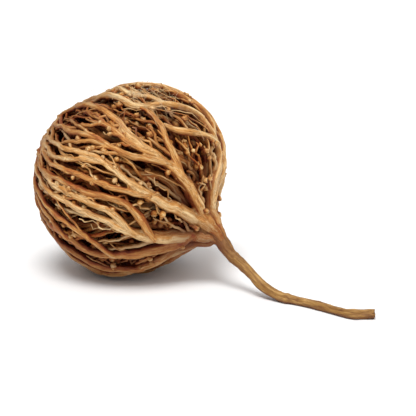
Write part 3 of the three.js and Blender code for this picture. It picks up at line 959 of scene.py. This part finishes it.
class Nodes:
    """A short way to write a material's node tree."""

    def __init__(self, name):
        self.material = bpy.data.materials.new(name)
        self.material.use_nodes = True
        self.tree = self.material.node_tree

    def add(self, kind, inputs=None, **settings):
        node = self.tree.nodes.new(kind)
        for key, value in settings.items():
            setattr(node, key, value)
        return self.fill(node, inputs or {})

    def fill(self, node, inputs):
        for key, value in inputs.items():
            if isinstance(value, bpy.types.NodeSocket):
                self.tree.links.new(value, node.inputs[key])
            else:
                node.inputs[key].default_value = value
        return node

    def shaded(self, inputs):
        """The material, whose shader has these inputs."""
        self.fill(self.tree.nodes["Principled BSDF"], inputs)
        return self.material

    def attribute(self, name, output="Fac"):
        return self.add("ShaderNodeAttribute", attribute_name=name).outputs[output]

    def math(self, operation, *values):
        return self.add("ShaderNodeMath", dict(enumerate(values)), operation=operation).outputs[0]

    def total(self, *parts):
        """The sum of the parts, each a value and its share."""
        result = self.math("MULTIPLY", *parts[0])
        for value, share in parts[1:]:
            result = self.math("MULTIPLY_ADD", value, share, result)
        return result

    def noise(self, vector, scale, detail, roughness):
        inputs = {"Vector": vector, "Scale": scale, "Detail": detail, "Roughness": roughness}
        return self.add("ShaderNodeTexNoise", inputs).outputs["Fac"]

    def ramp(self, value, stops):
        node = self.add("ShaderNodeValToRGB", {"Fac": value})
        elements = node.color_ramp.elements
        while len(elements) < len(stops):
            elements.new(0.5)
        for element, (at, *colour) in zip(elements, stops):
            element.position = at
            element.color = srgb(*colour)
        return node.outputs["Color"]

    def mix(self, share, first, second):
        colours = {0: share, 6: first, 7: second}
        return self.add("ShaderNodeMix", colours, data_type="RGBA").outputs[2]

    def spread(self, value, low, high, to_low, to_high):
        inputs = {"Value": value, "From Min": low, "From Max": high, "To Min": to_low, "To Max": to_high}
        return self.add("ShaderNodeMapRange", inputs).outputs["Result"]


def wood(name, stops, dust, gloss, shine):
    """Dried, fibrous wood: streaks along the stem, painted light where it faces out of the ball and painted
    shade in its depths, sides and cracks.
    """
    n = Nodes(name)
    grain = n.attribute("grain", "Vector")
    stretched = n.add("ShaderNodeVectorMath", {0: grain, 1: (1, 1, GRAIN_STRETCH)}, operation="MULTIPLY")
    fibre = stretched.outputs["Vector"]
    facing_light = n.attribute("facing_light")
    streaks = n.noise(fibre, 1.9, 5, 0.6)
    fibres = n.noise(fibre, 7.5, 3, 0.6)
    furrow = n.math("ABSOLUTE", n.math("SUBTRACT", n.noise(fibre, 1.3, 3, 0.5), 0.5))
    cracks = n.spread(furrow, 0, 0.035, 1, 0)
    patches = n.noise(grain, 0.16, 3, 0.5)
    # painted light: the wood is paler where it faces out of the ball
    marks = (fibres, 0.42), (streaks, 0.9), (patches, 0.4), (facing_light, 0.34), (n.attribute("tone"), 0.14)
    colour = n.ramp(n.spread(n.total(*marks), *RAMP, 0, 1), stops)

    # painted shade: darker the deeper the wood lies, and at the mouth, underside and crown
    depth_shade = n.math("POWER", n.spread(n.attribute("painted_shade"), 0.1, 0.75, 0, 1), 0.6)
    # painted shade on the sides of a stem that turn away from the ball's outside
    side_shade = n.spread(facing_light, 0.05, 0.7, EDGE_SHADE_SHARE, 0)
    shade = n.math("MAXIMUM", n.math("MULTIPLY", depth_shade, SUNK_SHADE_SHARE), side_shade)
    # painted shade in the fine cracks
    shade = n.math("MAXIMUM", shade, n.math("MULTIPLY", cracks, CRACK_SHADE_SHARE))
    colour = n.mix(shade, colour, srgb(*SHADE_COLOUR))

    where = n.add("ShaderNodeTexCoord").outputs["Object"]
    dusty = n.spread(n.noise(where, 210, 4, 0.65), 0.5, 0.68, 0, dust)
    colour = n.mix(n.math("MULTIPLY", dusty, n.attribute("dust")), colour, srgb(*DUST_COLOUR))

    roughness = n.spread(streaks, 0.3, 0.7, gloss - 0.08, gloss + 0.22)
    height = n.total((fibres, 0.4), (streaks, 0.7), (cracks, -0.5))
    bump = n.add("ShaderNodeBump", {"Height": height, "Strength": 0.75, "Distance": 0.00022})
    looks = {"Base Color": colour, "Roughness": roughness, "Normal": bump.outputs["Normal"]}
    return n.shaded({**looks, "Specular IOR Level": shine})


def pale_hair():
    """Dry hair that pales and darkens along its length."""
    n = Nodes("pale_hair")
    patches = n.noise(n.attribute("grain", "Vector"), 0.6, 3, 0.6)
    value = n.math("MULTIPLY_ADD", n.attribute("tone"), 0.5, patches)
    colour = n.ramp(n.spread(value, 0.35, 1.15, 0, 1), HAIR_COLOURS)
    return n.shaded({"Base Color": colour, "Roughness": n.spread(patches, 0.3, 0.7, 0.5, 0.75)})


# --- Pieces ---


def piece(name, skin, material, slot, *nodes, lying=False):
    """A finished piece: its mesh in metres, its material and its place in the frame."""
    points, quads, triangles, grain, tones = skin.joined()
    points[:, 2] = np.maximum(points[:, 2], 0)
    mesh = mesh_of(name, points * MM, quads, triangles)
    normals = read(mesh.vertices, "normal", np.float32, 3).reshape(-1, 3)
    outward = unit(away(points))
    # painted light and shade: paler where the surface faces out of the ball, darker on sides turned away
    facing_light = np.clip(np.sum(normals * outward, axis=1), 0, 1)
    if lying:
        # painted light from above: a lying stem's top is paler, its sides and underside darker
        facing_light = blend(UPRIGHT_FACING, 1, normals[:, 2])
    distance = np.linalg.norm(away(points), axis=1)
    theta = theta_of(outward)
    # painted shade on the wood towards the mouth, on the underside and around the crown
    placed_shade = MOUTH_SHADE * smoothstep(theta, 92, 132)
    placed_shade += UNDER_SHADE * smoothstep(-outward[:, 2], 0.15, 0.85)
    placed_shade += CROWN_SHADE * spot(outward, *CROWN_SHADE_PLACE)
    placed_shade *= 1 - smoothstep(distance, *PLACED_SHADE_END)
    # painted shade that deepens with depth under the surface, sooner near the crown
    darkest = blend(DEEP_AT_CROWN, DEEP, smoothstep(theta, 20, 60))
    layers = {
        "tone": tones,
        "facing_light": facing_light,
        "dust": spot(outward, *DUST),
        "painted_shade": np.clip(np.clip((surface(outward) - distance) / darkest, 0, 1) + placed_shade, 0, 1),
    }
    for key, values in layers.items():
        mesh.attributes.new(key, "FLOAT", "POINT").data.foreach_set("value", values.astype(np.float32))
    layer = mesh.attributes.new("grain", "FLOAT_VECTOR", "POINT")
    layer.data.foreach_set("vector", grain.astype(np.float32).ravel())
    mesh.materials.append(material)
    mesh.shade_smooth()
    made = in_scene(name, mesh)
    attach(made, "root")
    if nodes:
        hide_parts(*nodes)


def skin_of(*branches):
    """The skin of some branches, with all that grows on them."""
    skin = Skin()
    for branch in branches:
        style, rng = branch.style, branch.rng
        if style["tier"] == 0:
            skin.add(*grown_together(branch))
        else:
            for line in branch.lines:
                add_stem(skin, line, style["sides"], rng, style["flat"])
        for twig in branch.twigs:
            add_stem(skin, twig, style["twig_sides"], rng)
        for at, size in branch.pods:
            add_pod(skin, at, size, rng)
    return skin


def core():
    """The heart's lumpy core."""
    up, turn = from_top(CORE_RINGS), round_the_sides(CORE_SIDES)
    rim = np.sin(up)
    towards = np.stack([rim * np.cos(turn), rim * np.sin(turn), np.cos(up) * np.ones(CORE_SIDES)], -1)
    towards = np.vstack([towards.reshape(-1, 3), [0, 0, 1], [0, 0, -1]])
    lumps = np.array([noise.turbulence(Vector(t * 5), 4, False) for t in towards])
    depth = HEART["tier"] * TIER_GAP + CORE_DEPTH + 0.4 + 1.6 * (1 - lumps)
    depth -= 2 * smoothstep(theta_of(towards), 80, 130)
    points = CENTRE + towards * (surface(towards) - depth)[:, None]
    return Skin().add(points, *net(CORE_RINGS - 1, CORE_SIDES, True), points, 0.0)


def taproot():
    """The taproot and the crown: a furrowed, kinked stem with a cut end."""
    rng = np.random.default_rng(5)
    line = ROOT_COURSE
    heading = unit(line[-1, :3] - line[-2, :3])
    end = [(*(line[-1, :3] + heading * (along - CUT[-1][0])), line[-1, 3] * share) for along, share in CUT]
    line = np.vstack([line[:-1], end])
    points, radii = line[:, :3], line[:, 3]
    run = run_along(points)
    waist = 1 - NECK_WAIST * np.exp(-(((run - run[NECK_RING]) / 2.6) ** 2))
    radii = radii * (0.97 + 0.05 * ripple(run, rng, 11)) * knots(run, rng) * waist
    corners, quads, caps, grain = tube(points, radii, ROOT_SIDES, (0, 1, 0), rng, flutes=0.04)
    ring = np.minimum(np.arange(len(corners)) // ROOT_SIDES, len(points) - 1)
    ring[-2] = 0
    spoke = corners - points[ring]
    for k, (x, y, along) in enumerate(grain):
        furrows = noise.turbulence(Vector((x * 1.1, y * 1.1, along * 0.16)), 3, False)
        wrinkles = noise.noise(Vector((x * 0.5, y * 0.5, along * 1.6)))
        corners[k] += spoke[k] * (FURROWS * (0.55 - furrows) + WRINKLES * wrinkles)
    ragged = np.array([noise.noise(Vector(corner * 1.7)) for corner in corners])
    at_end = smoothstep(grain[:, 2], run[-1] - 0.7, run[-1] - 0.2)
    corners += heading * (0.5 * ragged * at_end)[:, None]
    corners[:, 2] = np.maximum(corners[:, 2], 0)
    return Skin().add(corners, quads, caps, grain, 0.1)


def crown_stubs():
    """Short broken stems round the crown."""
    rng = np.random.default_rng(23)
    skin = Skin()
    for theta, phi, length, radius in STUBS:
        root = place(theta, phi, 1.2, radius)
        out = unit(away(root))
        lean = unit(out * 0.55 + AXIS * 0.75 + 0.35 * rng.normal(size=3))
        x = np.linspace(-0.45, 1, 12)[:, None]
        points = root + lean * length * x + out * 0.25 * length * x**2
        radii = radius * (1.12 - 0.3 * x[:, 0] + 0.14 * ripple(x[:, 0] * length, rng, 2.2))
        radii[-3:] *= (1.12, 1.1, 0.8)
        skin.add(*tube(points, radii, 14, out, rng, flutes=0.1, shifted=True), 0.5)
    return skin


def hairs():
    """Fine, pale, dusty hairs that cling to the top of the ball."""
    rng = np.random.default_rng(31)
    skin = Skin()
    middle = direction(*DUST[:2])
    for _ in range(HAIRS):
        out = unit(middle + math.radians(HAIR_SPREAD) * rng.normal(size=3) * 0.6)
        start = CENTRE + out * (surface(out) - rng.uniform(0.6, 2.4))
        heading = unit(np.cross(out, rng.normal(size=3)))
        aside = np.cross(out, heading)
        length = rng.uniform(3, 10)
        x = np.linspace(0, 1, 14)[:, None]
        lift = rng.uniform(0.8, 2.6) * np.sin(np.pi * x * rng.uniform(0.5, 1.05))
        sway = rng.uniform(-1.6, 1.6) * x**2 + 0.3 * ripple(x * length, rng, 4)
        points = start + heading * length * x + out * lift + aside * sway
        over = np.linalg.norm(away(points), axis=1) - surface(unit(away(points))) - 2.2
        points -= unit(away(points)) * np.maximum(over, 0)[:, None]
        radii = np.full(14, rng.uniform(0.03, 0.055))
        skin.add(*tube(points, radii, 3, away(points), rng), rng.uniform(0, 1))
    return skin


outer = list(outer_branches())
middle = list(ruled_branches(MIDDLE_TIER))
inner = list(ruled_branches(INNER_TIER))
knotted = list(ruled_branches(HEART))
for branch in outer + middle + inner + knotted:
    branch.sprout()
close_mouth(outer + middle, np.random.default_rng(59))
fill_gaps(outer + middle + inner, np.random.default_rng(77))

woods = {name: wood(name, *looks) for name, looks in WOODS.items()}
for branch in outer:
    piece(f"{branch.name}_stems", skin_of(branch), woods["outer_wood"], "dried_wood", branch.name)
for branch in middle + inner:
    piece(f"{branch.name}_stems", skin_of(branch), woods["inner_wood"], "inner_wood", branch.name)
piece("heart_stems", skin_of(*knotted), woods["inner_wood"], "inner_wood", "knotted_heart")
piece("heart_core", core(), woods["core_shade_wood"], "inner_wood")
piece("taproot_bark", taproot(), woods["root_wood"], "root_wood", "taproot_and_crown", lying=True)
piece("crown_stubs", crown_stubs(), woods["outer_wood"], "dried_wood")
piece("dusty_hairs", hairs(), pale_hair(), "dried_wood")

# --- The floor, the camera and the light ---

azimuth, elevation = math.radians(CAMERA_AZIMUTH), math.radians(CAMERA_ELEVATION)
LEVEL_BACK = np.array([math.sin(azimuth), -math.cos(azimuth), 0])  # from the target to the camera
BACK = LEVEL_BACK * math.cos(elevation) + (0, 0, math.sin(elevation))
RIGHT = np.array([math.cos(azimuth), math.sin(azimuth), 0])


def look(thing, at, target):
    thing.location = Vector(at * MM)
    thing.rotation_mode = "QUATERNION"
    thing.rotation_quaternion = Vector((target - at) * MM).to_track_quat("-Z", "Y")


def floor():
    bpy.ops.mesh.primitive_plane_add(size=FLOOR_SIZE)
    plane = bpy.context.object
    plane.name = "floor"
    looks = {"Base Color": srgb(*FLOOR_COLOUR), "Roughness": 0.9}
    plane.data.materials.append(Nodes("pale_floor").shaded(looks))


def camera():
    data = bpy.data.cameras.new("camera")
    data.sensor_width = 36
    data.lens = data.sensor_width * CAMERA_DISTANCE / VIEW_WIDTH
    data.clip_start = 0.01
    data.clip_end = 20
    made = in_scene("camera", data)
    look(made, CAMERA_TARGET + BACK * CAMERA_DISTANCE, CAMERA_TARGET)
    bpy.context.scene.camera = made


def sun(name, right, back, up, spread, power):
    """A far, soft lamp whose light comes from the given side of the camera's view."""
    data = bpy.data.lights.new(name, "SUN")
    data.angle = math.radians(spread)
    data.energy = power
    towards = RIGHT * right + LEVEL_BACK * back + np.array([0, 0, up])
    look(in_scene(name, data), CENTRE + 500 * towards, CENTRE)


floor()
camera()
for name, looks in SUNS.items():
    sun(name, *looks)

world = bpy.context.scene.world or bpy.data.worlds.new("world")
bpy.context.scene.world = world
world.use_nodes = True
world.node_tree.nodes["Background"].inputs["Color"].default_value = (1, 1, 1, 1)
world.node_tree.nodes["Background"].inputs["Strength"].default_value = SKY
bpy.context.scene.view_settings.view_transform = "Standard"
